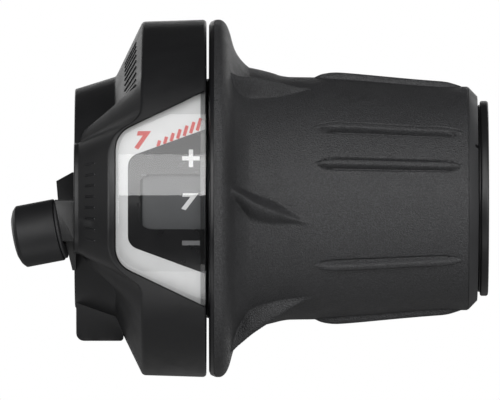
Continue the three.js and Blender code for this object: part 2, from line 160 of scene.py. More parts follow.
def finish_mesh(mesh, sharp_deg=SMOOTH_DEG):
    """Turns the faces outwards and shades them smoothly between sharp edges."""
    if signed_volume(mesh) < 0:
        mesh.flip_normals()
    mesh.polygons.foreach_set("use_smooth", [True] * len(mesh.polygons))
    mesh.set_sharp_from_angle(angle=math.radians(sharp_deg))
    mesh.update()


def linked(name, data):
    """A new object in the scene."""
    obj = bpy.data.objects.new(name, data)
    bpy.context.scene.collection.objects.link(obj)
    return obj


def raw(name, verts, faces, sharp_deg=SMOOTH_DEG):
    """A mesh object from points in millimetres."""
    mesh = bpy.data.meshes.new(name)
    mesh.from_pydata((np.asarray(verts, float) * MM).tolist(), [], faces)
    finish_mesh(mesh, sharp_deg)
    return linked(name, mesh)


def skin(name, rows, sharp_deg=SMOOTH_DEG):
    """A closed skin over a grid of points that wraps round both ways."""
    rows = np.asarray(rows, float)
    r, c = rows.shape[:2]
    i, j = np.meshgrid(np.arange(r), np.arange(c), indexing="ij")
    i2, j2 = (i + 1) % r, (j + 1) % c
    quads = np.stack([i * c + j, i2 * c + j, i2 * c + j2, i * c + j2], -1).reshape(-1, 4)
    return raw(name, rows.reshape(-1, 3), quads.tolist(), sharp_deg)


def turned(name, corners, segments=144):
    """A ring round the bar from a closed profile of [x, r, corner radius]."""
    profile = rounded(corners)
    angles = np.arange(segments) * 360 / segments
    return skin(name, polar(profile[None, :, 0], profile[None, :, 1], angles[:, None]))


def stacked_faces(rings, points, start=0):
    """Faces of a closed body through rings of points laid on each other: both ends, then the sides."""
    top = start + (rings - 1) * points
    faces = [list(range(start + points - 1, start - 1, -1)), list(range(top, top + points))]
    for low in range(start, top, points):
        for k in range(points):
            k2 = (k + 1) % points
            faces.append([low + k, low + k2, low + points + k2, low + points + k])
    return faces


def fix_normals(obj):
    """Makes all the faces of a body look the same way, outwards."""
    bm = bmesh.new()
    bm.from_mesh(obj.data)
    bmesh.ops.recalc_face_normals(bm, faces=bm.faces)
    bm.to_mesh(obj.data)
    bm.free()
    finish_mesh(obj.data)
    return obj


def prism(name, outline, low, high, axis="y"):
    """An outline pulled along an axis: [x, z] along y, or [y, z] along x."""
    verts = []
    for level in (low, high):
        for u, v in outline:
            verts.append((u, level, v) if axis == "y" else (level, u, v))
    return fix_normals(raw(name, verts, stacked_faces(2, len(outline))))


def rod(name, start, end, radius, segments=32):
    """A plain round cutter between two points."""
    start, end = Vector(start), Vector(end)
    turn = Vector((0, 0, 1)).rotation_difference(end - start)
    verts = []
    for at in (start, end):
        for k in range(segments):
            a = 2 * math.pi * k / segments
            verts.append(tuple(at + turn @ Vector((radius * math.cos(a), radius * math.sin(a), 0))))
    return fix_normals(raw(name, verts, stacked_faces(2, segments)))


def evaluated(obj):
    """A new mesh of what an object shows: its modifiers applied, its curves filled."""
    bpy.context.view_layer.update()
    return bpy.data.meshes.new_from_object(obj.evaluated_get(bpy.context.evaluated_depsgraph_get()))


def applied(obj):
    """The same object with its modifiers applied."""
    made = evaluated(obj)
    obj.modifiers.clear()
    old, obj.data = obj.data, made
    bpy.data.meshes.remove(old)
    return obj


def combine(obj, other, operation):
    """Applies a boolean and deletes the second object."""
    mod = obj.modifiers.new("cut", "BOOLEAN")
    mod.operation, mod.object, mod.solver = operation, other, "EXACT"
    applied(obj)
    bpy.data.objects.remove(other)
    return obj


def bevelled(obj, width):
    """Breaks the edges of a body."""
    mod = obj.modifiers.new("bevel", "BEVEL")
    mod.width, mod.segments, mod.limit_method = width * MM, 3, "ANGLE"
    mod.angle_limit = math.radians(30)
    return applied(obj)


def cleaned(obj, sharp_deg=SMOOTH_DEG):
    """Merges the points and drops the slivers that booleans leave."""
    bm = bmesh.new()
    bm.from_mesh(obj.data)
    bmesh.ops.remove_doubles(bm, verts=bm.verts, dist=MERGE * MM)
    bmesh.ops.dissolve_degenerate(bm, edges=bm.edges, dist=MERGE * MM)
    bm.to_mesh(obj.data)
    bm.free()
    finish_mesh(obj.data, sharp_deg)
    return obj


def moved(obj, offset, turn=None):
    """Turns an object about the origin and then moves it, in millimetres."""
    turn = Matrix.Identity(4) if turn is None else turn
    obj.data.transform(Matrix.Translation(Vector(offset) * MM) @ turn)
    obj.data.update()
    return obj


def aimed(direction):
    """The turn that brings the bar's axis onto a direction."""
    return Vector((1, 0, 0)).rotation_difference(Vector(direction)).to_matrix().to_4x4()


def place(obj, body, mat, slot, *nodes):
    """Gives a finished piece its material and its CAD body and hides the CAD nodes it stands for; the slot
    is not used.
    """
    obj.data.materials.clear()
    obj.data.materials.append(mat)
    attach(obj, body)
    if nodes:
        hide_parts(*nodes)
    return obj


# ---- materials ---------------------------------------------------------------------------------------
class Nodes:
    """A short way to build one material's node tree."""

    def __init__(self, name):
        self.mat = bpy.data.materials.new(name)
        self.mat.use_nodes = True
        self.tree = self.mat.node_tree
        self.tree.nodes.clear()
        self.coords = self.add("ShaderNodeTexCoord").outputs["Object"]

    def add(self, kind, inputs=None, **settings):
        """A new node. An input is a constant, or another node's output to link to."""
        node = self.tree.nodes.new(kind)
        for key, value in settings.items():
            setattr(node, key, value)
        for key, value in (inputs or {}).items():
            if isinstance(value, bpy.types.NodeSocket):
                self.tree.links.new(value, node.inputs[key])
            else:
                node.inputs[key].default_value = value
        return node

    def noise(self, size_mm, detail=3.0, roughness=0.5):
        scale = 1 / (size_mm * MM)
        inputs = {"Vector": self.coords, "Scale": scale, "Detail": detail, "Roughness": roughness}
        return self.add("ShaderNodeTexNoise", inputs).outputs["Fac"]

    def ramp(self, fac, low, high, out_low=0.0, out_high=1.0):
        inputs = {"Value": fac, "From Min": low, "From Max": high, "To Min": out_low, "To Max": out_high}
        return self.add("ShaderNodeMapRange", inputs).outputs[0]

    def patches(self, size_mm, detail, low=0.0, high=1.0, roughness=0.5):
        """Soft clouds that run from one value to another."""
        return self.ramp(self.noise(size_mm, detail, roughness), 0.3, 0.7, low, high)

    def mix(self, fac, a, b):
        return self.add("ShaderNodeMix", {0: fac, 6: a, 7: b}, data_type="RGBA").outputs[2]

    def math(self, operation, a, b):
        return self.add("ShaderNodeMath", {0: a, 1: b}, operation=operation).outputs[0]

    def bump(self, height, depth_mm, strength=1.0):
        inputs = {"Height": height, "Distance": depth_mm * MM, "Strength": strength}
        return self.add("ShaderNodeBump", inputs).outputs[0]

    def output(self, shader):
        """Ends the tree in this shader node and returns the material."""
        self.add("ShaderNodeOutputMaterial", {"Surface": shader.outputs[0]})
        return self.mat

    def principled(self, inputs):
        return self.output(self.add("ShaderNodeBsdfPrincipled", inputs))


def rgba(value):
    """A colour with full alpha, from a grey level or three channels."""
    if isinstance(value, (int, float)):
        return (value, value, value, 1)
    return (*value, 1)


def plastic(name, colour, roughness, wear=0.0, specular=0.5):
    """Moulded plastic: a faint spark-eroded grain, cloudy gloss and slightly rubbed edges."""
    n = Nodes(name)
    base = Vector(colour)
    tone = n.mix(n.patches(9, 4), rgba(base * 0.9), rgba(base * 1.12))
    if wear:
        edge = n.add("ShaderNodeNewGeometry").outputs["Pointiness"]
        rubbed = n.math("MULTIPLY", n.ramp(edge, 0.52, 0.6), n.ramp(n.noise(1.6, 5), 0.4, 0.75, 0, wear))
        tone = n.mix(rubbed, tone, rgba(base * 1.6 + Vector((0.03, 0.03, 0.03))))
    rough = n.patches(3.5, 5, roughness - 0.06, roughness + 0.06, 0.6)
    normal = n.bump(n.noise(0.35, 2), 0.004)
    return n.principled(
        {"Base Color": tone, "Roughness": rough, "Normal": normal, "Specular IOR Level": specular}
    )


def rubber(name, colour, roughness, grain_depth=0.11, speckle=0.6):
    """Soft grip rubber: a fine etched grain, with dust that dulls it in patches."""
    n = Nodes(name)
    base, grain = Vector(colour), 0.24
    voronoi = n.add("ShaderNodeTexVoronoi", {"Vector": n.coords, "Scale": 1 / (grain * MM)})
    fine = n.noise(grain * 0.9, 2, 0.6)
    height = n.math("ADD", n.math("MULTIPLY", voronoi.outputs["Distance"], 0.6), fine)
    tone = n.mix(n.patches(5, 4), rgba(base * 0.92), rgba(base * 1.08))
    tone = n.mix(n.ramp(fine, 0.42, 0.62, 0, speckle), tone, rgba(base * 2.8))
    rough = n.patches(2.5, 4, roughness - 0.07, roughness + 0.05)
    return n.principled({"Base Color": tone, "Roughness": rough, "Normal": n.bump(height, grain_depth)})


def printed(name, colour, roughness):
    """A smooth printed layer with a trace of screen texture."""
    n = Nodes(name)
    base = Vector(colour)
    tone = n.mix(n.patches(2.2, 4), rgba(base * 0.96), rgba(base * 1.03))
    rough = n.patches(1.5, 3, roughness - 0.04, roughness + 0.06)
    return n.principled({"Base Color": tone, "Roughness": rough, "Normal": n.bump(n.noise(0.12, 2), 0.001)})


def metal(name, colour, roughness):
    """Plated or turned metal with fine marks and cloudy gloss."""
    n = Nodes(name)
    base = Vector(colour)
    marks = n.noise(0.15, 3)
    tone = n.mix(n.patches(1.8, 4), rgba(base * 0.85), rgba(base * 1.08))
    rough = n.ramp(marks, 0.3, 0.7, roughness - 0.06, roughness + 0.1)
    return n.principled(
        {"Base Color": tone, "Roughness": rough, "Metallic": 1.0, "Normal": n.bump(marks, 0.003)}
    )


def clear(name, tint=0.97):
    """Clear moulded cover: see-through, with gloss on its outer side that grows towards the edges."""
    n = Nodes(name)
    waves = n.bump(n.noise(7, 1), 0.01, 0.35)
    fresnel = n.add("ShaderNodeFresnel", {"IOR": 1.7, "Normal": waves})
    see = n.add("ShaderNodeBsdfTransparent", {"Color": rgba(tint)})
    rough = n.ramp(n.noise(1.2, 5), 0.45, 0.75, 0.015, 0.05)
    gloss = n.add("ShaderNodeBsdfGlossy", {"Color": rgba(1.0), "Roughness": rough, "Normal": waves})
    inside = n.add("ShaderNodeNewGeometry").outputs["Backfacing"]
    share = n.math("MULTIPLY", fresnel.outputs[0], n.math("SUBTRACT", 1.0, inside))
    return n.output(n.add("ShaderNodeMixShader", {0: share, 1: see.outputs[0], 2: gloss.outputs[0]}))


SATIN = (0.009, 0.0091, 0.0099)
SHELL = plastic("satin_black_shell", SATIN, 0.42, wear=0.6)
# Its darker tone also serves as painted shade on the bars of the cone and the pillar.
TUBE = plastic("hard_black_plastic", (0.006, 0.006, 0.007), 0.36, wear=0.3)
INNER = plastic("inner_plastic", (0.03, 0.032, 0.037), 0.5)
RING = plastic("ring_plastic", (0.075, 0.0775, 0.081), 0.48)
LINER = plastic("natural_liner", (0.62, 0.61, 0.56), 0.45)
GRIP_RUBBER = rubber("grained_grip_rubber", (0.02, 0.0202, 0.0214), 0.56)
COLLAR = rubber("collar_rubber", (0.032, 0.0323, 0.034), 0.52, grain_depth=0.004, speckle=0.06)
SOFT = rubber("smooth_black_rubber", (0.016, 0.016, 0.017), 0.6, grain_depth=0.006, speckle=0.1)
WHITE = printed("white_print", (0.74, 0.745, 0.745), 0.4)
MUTED = printed("grey_print", (0.17, 0.17, 0.175), 0.4)
BLACK = printed("black_print", (0.008, 0.008, 0.009), 0.3)
RED = printed("red_print", (0.62, 0.045, 0.035), 0.4)
STEEL = metal("zinc_steel", (0.5, 0.51, 0.53), 0.3)
BRASS = metal("turned_brass", (0.43, 0.27, 0.08), 0.32)
BARREL = plastic("knob_plastic", SATIN, 0.52, wear=0.6, specular=0.42)
CLEAR = clear("clear_lens")
# painted shade: a grey see-through layer that darkens the band along the lens's outboard edge
EDGE_SHADE_GLASS = clear("edge_shade_glass", 0.78)


# ---- housing -----------------------------------------------------------------------------------------
# The shell's section changes with the angle from the front, upwards (UP) and downwards (DOWN): where along
# the bar the cone starts (FOOT) and ends (CREST), and the radius of the inboard edge.
FOOT_UP = smooth_table(
    [[24, 0.7], [30.6, 0.85], [37.4, 1.6], [40.7, 3.2], [43.5, 5.4], [47, 6.25], [50, CLAMP_X1]]
)
FOOT_DOWN = smooth_table([[24, 0.7], [30, 1.3], [38, 3.1], [41.6, 4.6], [44.3, 5.6], [52, CLAMP_X1]])
CREST_UP = smooth_table([[14, 5.3], [20, 6.0], [23, 7.3], [26, 9.3], [29, 10.2], [33, DISC_X0]])
CREST_DOWN = smooth_table([[14, 5.3], [20, 5.8], [23.5, 6.9], [27, 8.6], [29.5, 9.9], [33, DISC_X0]])
EDGE_R = smooth_table([[0, 22.6], [12, 22.5], [17, 22.2], [22, 21.2], [26, 19.2], [30, CLAMP_R0]])
WINDOW = [[6.25, 9.94, 4.0], [6.25, -10.07, 4.0], [20.3, -16.84, 1.0], [20.3, 16.69, 1.0]]
PRINT_X1 = 20.02  # the dial's prints run off its right-hand edge here
PANEL = [[8.3, 6.28, 2.0], [8.3, -7.17, 2.0]]
PANEL_EDGE = (10.52, -11.49)  # where its slanted sides meet the right-hand edge
APERTURE = [[9.85, 3.7, 2.1], [9.85, -4.7, 2.1]]
APERTURE_EDGE = (3.7, -4.7)
HATCH_DEG, HATCH_X = np.arange(42, 73, 3.6), (7.7, 9.5)  # bars on the cone above the window
MARKS_DEG, MARKS_X = np.arange(-15, 13, 3.9), (1.7, 3.3)  # bars on the pillar beside the window


def shell_profile(angle):
    """Corners [x, r, fillet] of the shell's section at one angle from the front."""
    off, up = abs(angle), angle > 0
    foot = float((FOOT_UP if up else FOOT_DOWN)(off))
    crest = float((CREST_UP if up else CREST_DOWN)(off))
    edge = float(EDGE_R(off))
    foot_r = edge + CLAMP_TAPER * foot
    return [
        [0, BAR_BORE_R, 0.25], [0, edge, 0.3], [foot, foot_r, 0.7], [crest, DISC_R0, 0.75],
        [DISC_X1, DISC_R1, 0.55], [DISC_X1, CAVITY_R, 0.15], [CAVITY_X, CAVITY_R, 0.4],
        [FLOOR_X, 19.9, 0.3], [FLOOR_X, BAR_BORE_R, 0.2],
    ]


def shell():
    """The housing's moulding: clamp, cone and disc, then the lug and the cable block, then its holes."""
    rows = []
    for angle in np.arange(-180, 180, 1.0):
        profile = rounded(shell_profile(angle), 5)
        rows.append(polar(profile[:, 0], profile[:, 1], angle))
    obj = skin("housing_shell", rows)
    for angle in SCREW_DEG:
        outside, seat, inside, end = (polar(x, SCREW_R, angle) for x in (3.6, 7.5, 7.1, 12))
        obj = combine(obj, rod("recess", outside, seat, 1.75, 31), "DIFFERENCE")
        obj = combine(obj, rod("hole", inside, end, 0.95, 31), "DIFFERENCE")
    obj = combine(obj, clamp_ear(), "UNION")
    trim = rod("trim", CABLE_ORIGIN, CABLE_ORIGIN + CABLE_AXIS * 9, 12, 48)
    obj = combine(obj, combine(cable_block(), trim, "DIFFERENCE"), "UNION")
    cutters = [
        rod("bore", (-6, 0, 0), (FLOOR_X + 0.5, 0, 0), BAR_BORE_R, 144),
        window_cutter(),
        prism("slit", [[-4, -10], [7.2, -10], [7.2, -24], [-4, -24]], -0.8, 0.8),
        rod("bolt_hole", (BOLT_X, -0.9, BOLT_Z), (BOLT_X, 8, BOLT_Z), 2.15),
        rod("insert_hole", (BOLT_X, -3.5, BOLT_Z), (BOLT_X, -0.5, BOLT_Z), 3.1),
        rod("head_recess", (BOLT_X, 6.5, BOLT_Z), (BOLT_X, 16, BOLT_Z), 3.65, 48),
        rod("screw_hole", CABLE_ORIGIN - CABLE_AXIS * 6, CABLE_ORIGIN + CABLE_AXIS, 2.05),
        rod("cable_way", CABLE_ORIGIN - CABLE_AXIS * 14, CABLE_ORIGIN - CABLE_AXIS * 5.9, 1.7),
        rod("plug_hole", polar(PLUG_X, 24.5, PLUG_DEG), polar(PLUG_X, 30, PLUG_DEG), 2.4),
    ]
    for cutter in cutters:
        obj = combine(obj, cutter, "DIFFERENCE")
    return cleaned(obj, 32)


def clamp_ear():
    """The clamp's lug: a rounded inboard corner and a front that leans back."""
    outline = rounded([[0.2, -13, 0], [0.2, -21.9, 1.2], [7.4, -21.9, 0.4], [7.4, -13, 0]], 5)
    side = [[-6.2, -13], [-3.5, -21.9], [6.5, -21.9], [6.5, -13]]
    ear = combine(prism("ear", outline, -6.2, 6.5), prism("side", side, -1, 9, "x"), "INTERSECT")
    return bevelled(ear, 0.4)


def cable_block():
    """The adjuster's seat: a plate whose front falls away above and below, and a tall neck."""
    outline = [[-5, 1.4], [-0.3, 4.0], [0.3, 4.0], [0.3, -11], [-0.4, -11], [-1.4, -8.9], [-5, -8.1]]
    side = [[-12.6, 4.0], [-13.6, 4.0], [-16.8, -0.2], [-17.4, -6.6], [-15.6, -11], [-12.6, -11]]
    plate = combine(prism("plate", outline, -18, -12.6), prism("side", side, -6, 1, "x"), "INTERSECT")
    neck = prism("neck", [[-5, -0.2], [-5, -6.6], [0.3, -6.6], [0.3, -0.2]], -20.5, -13.6)
    return combine(bevelled(plate, 0.2), bevelled(neck, 0.25), "UNION")


def slope_ribs(name, angles, x0, x1, half_width, height):
    """Short raised bars that lie on the cone and run outwards along it, one at each of these angles."""
    outline = rounded([[-1, -1, 0.9], [1, -1, 0.9], [1, 1, 0.9], [-1, 1, 0.9]])
    levels = ((-0.3, 0.0), (height - 0.08, 0.0), (height, 0.1))  # height over the cone, then its draw-in
    middle_x = (x0 + x1) / 2
    verts, faces = [], []
    for angle in angles:
        (foot, foot_r), (crest, crest_r) = (corner[:2] for corner in shell_profile(angle)[2:4])
        rise = (crest_r - foot_r) / (crest - foot)
        slant = math.hypot(1, rise)
        middle = np.array([middle_x, foot_r + rise * (middle_x - foot)])
        along, out = np.array([1, rise]) / slant, np.array([-rise, 1]) / slant
        sideways = polar(0, 1, angle - 90)
        faces += stacked_faces(len(levels), len(outline), len(verts))
        for level, shrink in levels:
            for u, v in outline:
                reach = (x1 - x0) / 2 * slant - (1 - abs(u)) * half_width - shrink
                x, r = middle + along * np.sign(u) * reach + out * level
                verts.append(polar(x, r, angle) + v * (half_width - shrink) * sideways)
    return fix_normals(raw(name, verts, faces))


def window_cutter():
    """The window's outline pulled through the wall, kept off the ring that turns behind it."""
    outline = [list(corner) for corner in WINDOW]
    for corner in outline[2:]:  # these two run on past the disc's outboard face
        corner[:] = [corner[0] + 1.5, corner[1] * 1.04, 0.1]
    cut = prism("window", rounded(outline, 10), -32, -14)
    return combine(cut, rod("core", (-1, 0, 0), (23, 0, 0), RING_R + 0.05, 180), "DIFFERENCE")


def lens_outline(margin):
    """The window's outline moved in by a margin, straight on its outboard side, with close points."""
    corners = inset(WINDOW, margin)
    for corner in corners[2:]:
        corner[:] = [LENS_X1, corner[1], 0.1]
    outline = rounded(corners, 10)
    dense = []
    for a, b in zip(outline, np.roll(outline, -1, 0)):
        count = max(1, int(np.linalg.norm(b - a) / 0.7))
        dense += [a + (b - a) * k / count for k in range(count)]
    return np.array(dense)


def spaced(points, count):
    """So many points, evenly spaced along a closed outline."""
    loop = np.vstack([points, points[:1]])
    s = np.concatenate([[0], np.cumsum(np.linalg.norm(np.diff(loop, axis=0), axis=1))])
    at = np.linspace(0, s[-1], count, endpoint=False)
    return np.stack([np.interp(at, s, loop[:, k]) for k in range(2)], -1)


def lens():
    """A clear cover curved round the bar: bevelled rim, smooth crown and hollow back."""
    rim, bevel, centre = 0.12, 0.55, np.array([13.5, 0.0])
    count = len(lens_outline(rim))

    def ring(margin, r, share=1.0):
        flat = centre + (spaced(lens_outline(margin), count) - centre) * share
        return np.stack([flat[:, 0], -np.sqrt(r * r - flat[:, 1] ** 2), flat[:, 1]], -1)

    back = [ring(0.6, LENS_INNER_R, share) for share in np.linspace(0.02, 0.96, 20)]
    wall = [ring(0.3, LENS_INNER_R), ring(rim, LENS_INNER_R + 0.15), ring(rim, LENS_R - 0.7)]
    edge = [ring(rim + bevel * t, LENS_R - 0.5 * (1 - t) ** 1.6) for t in np.linspace(0, 1, 6)]
    crown = [ring(rim + bevel, LENS_R, share) for share in np.linspace(0.98, 0.02, 30)]
    rings = np.array(back + wall + edge + crown)
    return fix_normals(raw("lens", rings.reshape(-1, 3), stacked_faces(len(rings), count)))


# ---- dial --------------------------------------------------------------------------------------------
BACKING_R, PRINT_R, RED_R, SIGN_R = 25.05, 25.56, 25.66, 25.73  # inner radii of the dial's layers
PRINT = 0.04  # thickness of a printed sign


def bend(name, curve, r, thickness, angle, move):
    """Fills a flat curve, moves it, bends it onto radius r round the bar and turns it up by an angle."""
    strip = 0.6  # cut this fine, so that it follows the curve
    flat = linked(name + "_flat", curve)
    mesh = evaluated(flat)
    bpy.data.objects.remove(flat)
    mesh.transform(move)
    bm = bmesh.new()
    bm.from_mesh(mesh)
    bmesh.ops.remove_doubles(bm, verts=bm.verts, dist=1e-4)
    low = min(v.co.y for v in bm.verts)
    high = max(v.co.y for v in bm.verts)
    for k in range(1, int((high - low) / strip) + 1):
        everything = bm.verts[:] + bm.edges[:] + bm.faces[:]
        bmesh.ops.bisect_plane(bm, geom=everything, plane_co=(0, low + strip * k, 0), plane_no=(0, 1, 0))
    for v in bm.verts:
        u, h, w = v.co
        radius = r + w + thickness / 2
        v.co = Vector((u, -math.sqrt(radius * radius - h * h), h)) * MM
    bmesh.ops.recalc_face_normals(bm, faces=bm.faces)
    bm.to_mesh(mesh)
    bm.free()
    mesh.transform(Matrix.Rotation(math.radians(-angle), 4, "X"))
    finish_mesh(mesh, 40)
    return linked(name, mesh)


def inlay(name, loops, r, thickness):
    """A thin solid with these flat [x, z] loops as its outline and holes, bent onto radius r."""
    curve = bpy.data.curves.new(name, "CURVE")
    curve.dimensions, curve.fill_mode, curve.extrude = "2D", "BOTH", thickness / 2
    for loop in loops:
        spline = curve.splines.new("POLY")
        spline.points.add(len(loop) - 1)
        for point, (u, v) in zip(spline.points, loop):
            point.co = (u, v, 0, 1)
        spline.use_cyclic_u = True
    return bend(name, curve, r, thickness, 0, Matrix.Identity(4))


def glyph(name, text, height, centre, r, thickness, angle=0.0, slant=0.0, bold=0.0, width=1.0):
    """A printed number or sign, made from its outline and bent onto radius r."""
    curve = bpy.data.curves.new(name, "FONT")
    curve.body, curve.align_x, curve.align_y = text, "CENTER", "CENTER"
    curve.size, curve.extrude, curve.shear, curve.offset = 1.0, 0.1, slant, bold
    probe = linked(name + "_probe", curve)
    bpy.context.view_layer.update()
    lo, hi = Vector(probe.bound_box[0]), Vector(probe.bound_box[6])
    bpy.data.objects.remove(probe)
    scale = height / (hi.y - lo.y)
    middle = (lo + hi) / 2
    size = Matrix.Diagonal((scale * width, scale, thickness / (2 * curve.extrude), 1))
    move = Matrix.Translation((*centre, 0)) @ size @ Matrix.Translation((-middle.x, -middle.y, 0))
    return bend(name, curve, r, thickness, angle, move)


def bar(centre, length, width, lean, ends):
    """A short rounded stroke as an [x, z] loop that leans from the vertical by an angle."""
    w, h = width / 2, length / 2
    loop = rounded([[-w, -h, ends], [w, -h, ends], [w, h, ends], [-w, h, ends]], 3)
    a = math.radians(-lean)
    turn = np.array([[math.cos(a), -math.sin(a)], [math.sin(a), math.cos(a)]])
    return loop @ turn.T + np.array(centre)


def open_outline(corners, edge):
    """An outline that runs in from the dial's right-hand edge, round these corners and out again."""
    ends = [[PRINT_X1, edge[0], 0], [PRINT_X1, edge[1], 0]]
    return rounded([ends[0], *corners, ends[1]], 8, closed=False)


def side_at(near, far, x):
    """Height at x on the straight line through two corners."""
    return near[1] + (far[1] - near[1]) / (far[0] - near[0]) * (x - near[0])


def dial():
    """Black backing, white frame and dark panel, one on another, with the aperture through all of them."""
    panel = open_outline(PANEL, PANEL_EDGE)
    aperture = open_outline(APERTURE, APERTURE_EDGE)
    field = inset(WINDOW, 0.2)
    edge = (side_at(field[0], field[3], PRINT_X1), side_at(field[1], field[2], PRINT_X1))
    outer = open_outline(field[:2], edge)
    backing = inlay("dial_backing", [np.vstack([outer, aperture[::-1]])], BACKING_R, 0.5)
    place(backing, HOUSING, BLACK, "dial_dark")
    white = inlay("dial_white", [np.vstack([outer, panel[::-1]])], PRINT_R, 0.1)
    place(white, HOUSING, WHITE, "dial_white", "dial_plate")
    dark = inlay("dial_panel_print", [np.vstack([panel, aperture[::-1]])], PRINT_R, 0.16)
    place(dark, HOUSING, BLACK, "dial_dark", "dial_panel")


def dial_signs():
    """Plus, minus, the number of gears and a row of seven growing strokes."""
    for k, turn in enumerate((0, 90)):
        stroke = bar((17.9, 6.1), 2.7, 0.66, turn, 0.02)
        plus = inlay(f"plus_sign_{k + 1}", [stroke], SIGN_R + 0.1 * PRINT * k, PRINT)
        place(plus, HOUSING, WHITE, "dial_white")
    minus = inlay("minus_sign", [bar((17.9, -6.8), 2.7, 0.7, 90, 0.02)], SIGN_R, PRINT)
    place(minus, HOUSING, MUTED, "dial_white")
    seven = glyph("gear_count", "7", 2.8, (10.55, 8.85), RED_R, 0.05, slant=0.25, bold=0.05)
    place(seven, HOUSING, RED, "dial_dark")
    row_x, row_z, pitch, climb = 13.0, 7.85, 1.02, 0.408
    for k in range(GEARS):
        tall = 1.0 + 0.16 * k
        stroke = bar((row_x + pitch * k, row_z + climb * k + tall / 2), tall, 0.5, 16, 0.05)
        place(inlay(f"gear_bar_{k + 1}", [stroke], RED_R, 0.05), HOUSING, RED, "dial_dark")


def edge_tint():
    """A grey see-through strip along the lens's outboard edge: painted shade for the darker band there."""
    low, high = (WINDOW[k][1] * 0.985 for k in (2, 3))
    strip = [[19.35, low], [20.0, low], [20.0, high], [19.35, high]]
    return inlay("edge_tint", [np.array(strip)], 25.88, PRINT)


def number_ring():
    """The ring that turns with the grip, with the numbers that pass behind the aperture."""
    ring = turned(
        "number_ring",
        [
            [9.9, 22.0, 0.1], [9.9, 23.75, 0.1], [10.5, RING_R, 0.3], [20.15, RING_R, 0.2],
            [20.15, 18.0, 0.1], [20.4, 17.8, 0.1], [20.4, 14.6, 0.1], [19.2, 14.6, 0.1],
            [19.2, 23.4, 0.3], [11.4, 23.4, 0.3],
        ],
        180,
    )
    place(ring, GRIP, RING, "ring_plastic", "indicator_ring")
    for gear in range(1, GEARS + 1):
        angle = STEP_DEG * (GEARS - gear) - 1.15
        style = {"slant": 0.12, "bold": 0.035, "width": 1.35}
        number = glyph(f"number_{gear}", str(gear), 2.6, (17.75, 0), RING_R - 0.01, PRINT, angle, **style)
        place(number, GRIP, WHITE, "dial_white")


# ---- grip --------------------------------------------------------------------------------------------
# Each table gives a radius, a height or an angle by the place x along the bar.
GRIP_BASE = smooth_table(
    [
        [21.4, 27.42], [21.8, 27.5], [22.2, 27.5], [22.6, 27.38], [22.95, 27.1], [23.3, 26.65], [23.6, 26.0],
        [23.85, 25.25], [24.15, 24.1], [24.5, 23.0], [24.85, 22.28], [25.3, 21.6], [25.8, 21.0],
        [26.4, 20.42], [26.95, 20.06], [28.2, 19.72], [30.4, 19.18], [32.0, 18.8], [33.0, 18.68],
        [36.9, 18.62], [60.2, 17.2],
    ]
)
RIB_X0, RIB_X1 = 36.7, 59.6
RIB_HEIGHT = smooth_table(
    [
        [RIB_X0, 0], [37.1, 0.18], [37.8, 0.5], [38.7, 0.72], [39.6, 0.86], [40.6, 0.92], [46, 0.87],
        [53.5, 0.8], [56.2, 0.75], [57.2, 0.66], [58.1, 0.46], [59.0, 0.2], [RIB_X1, 0],
    ]
)
RIB_GROOVE = 0.42  # depth of the shadow line beside a rib, as a share of its height
RIB_WIDTH = smooth_table([[RIB_X0, 0.25], [38.2, 0.8], [40, 1.0], [56.5, 1.0], [58.3, 0.75], [RIB_X1, 0.25]])
FIN_X0, FIN_X1 = 23.9, 37.0
FIN_CREST = smooth_table(
    [
        [FIN_X0, 25.0], [25.2, 24.1], [26.9, 23.0], [28.8, 22.0], [30.8, 21.0], [33, 19.75], [35.2, 18.95],
        [FIN_X1, 18.6],
    ]
)
FIN_CREST_DEG = smooth_table([[FIN_X0, 23.4], [25.5, 24.8], [27.5, 28.0], [30.8, 32.0], [FIN_X1, 37.9]])
FIN_INNER_DEG = smooth_table([[FIN_X0, 21.0], [27.5, 24.2], [30.8, 27.8], [33, 32.2], [FIN_X1, 37.2]])
FIN_OUTER_DEG = smooth_table([[FIN_X0, 26.5], [25.5, 31], [27, 36], [30.8, 38.6], [FIN_X1, 38.6]])


def grip_radius(x, angle):
    """Radius of the rubber's outer skin at a place along the grip and an angle round it."""
    half_step = GROUP_STEP_DEG / 2
    off = np.abs((angle - GROUP_DEG + half_step) % GROUP_STEP_DEG - half_step)
    base = GRIP_BASE(x)
    width = RIB_HALF_DEG * RIB_WIDTH(x)
    height = np.where((x > RIB_X0) & (x < RIB_X1), RIB_HEIGHT(x), 0)
    rib = 0  # round on top, with a shadow line pressed in along each side
    for middle in (RIB_OFFSET_DEG, half_step):
        side = np.abs(off - middle) / width
        groove = RIB_GROOVE * height * np.exp(-(((side - 1.12) / 0.2) ** 2))
        rib = np.where(side < 1.8, height * ease((1 - side) / 0.58) - groove, rib)
    # a fin rises slowly to its crest and falls away more steeply behind it
    top = np.where((x > FIN_X0) & (x < FIN_X1), np.maximum(FIN_CREST(x) - base, 0), 0)
    crest, inner = FIN_CREST_DEG(x), FIN_INNER_DEG(x)
    outer = np.maximum(FIN_OUTER_DEG(x), crest + 2.6)
    rise = np.clip((off - inner) / np.maximum(crest - inner, 0.6), 0, 1)
    rise = (ease(rise) + rise) / 2
    fall = ease((outer - off) / (outer - crest)) ** 0.85
    fin = top * np.where(off < crest, rise, fall)
    return base + np.where(fin > 0, np.maximum(rib, fin), rib)


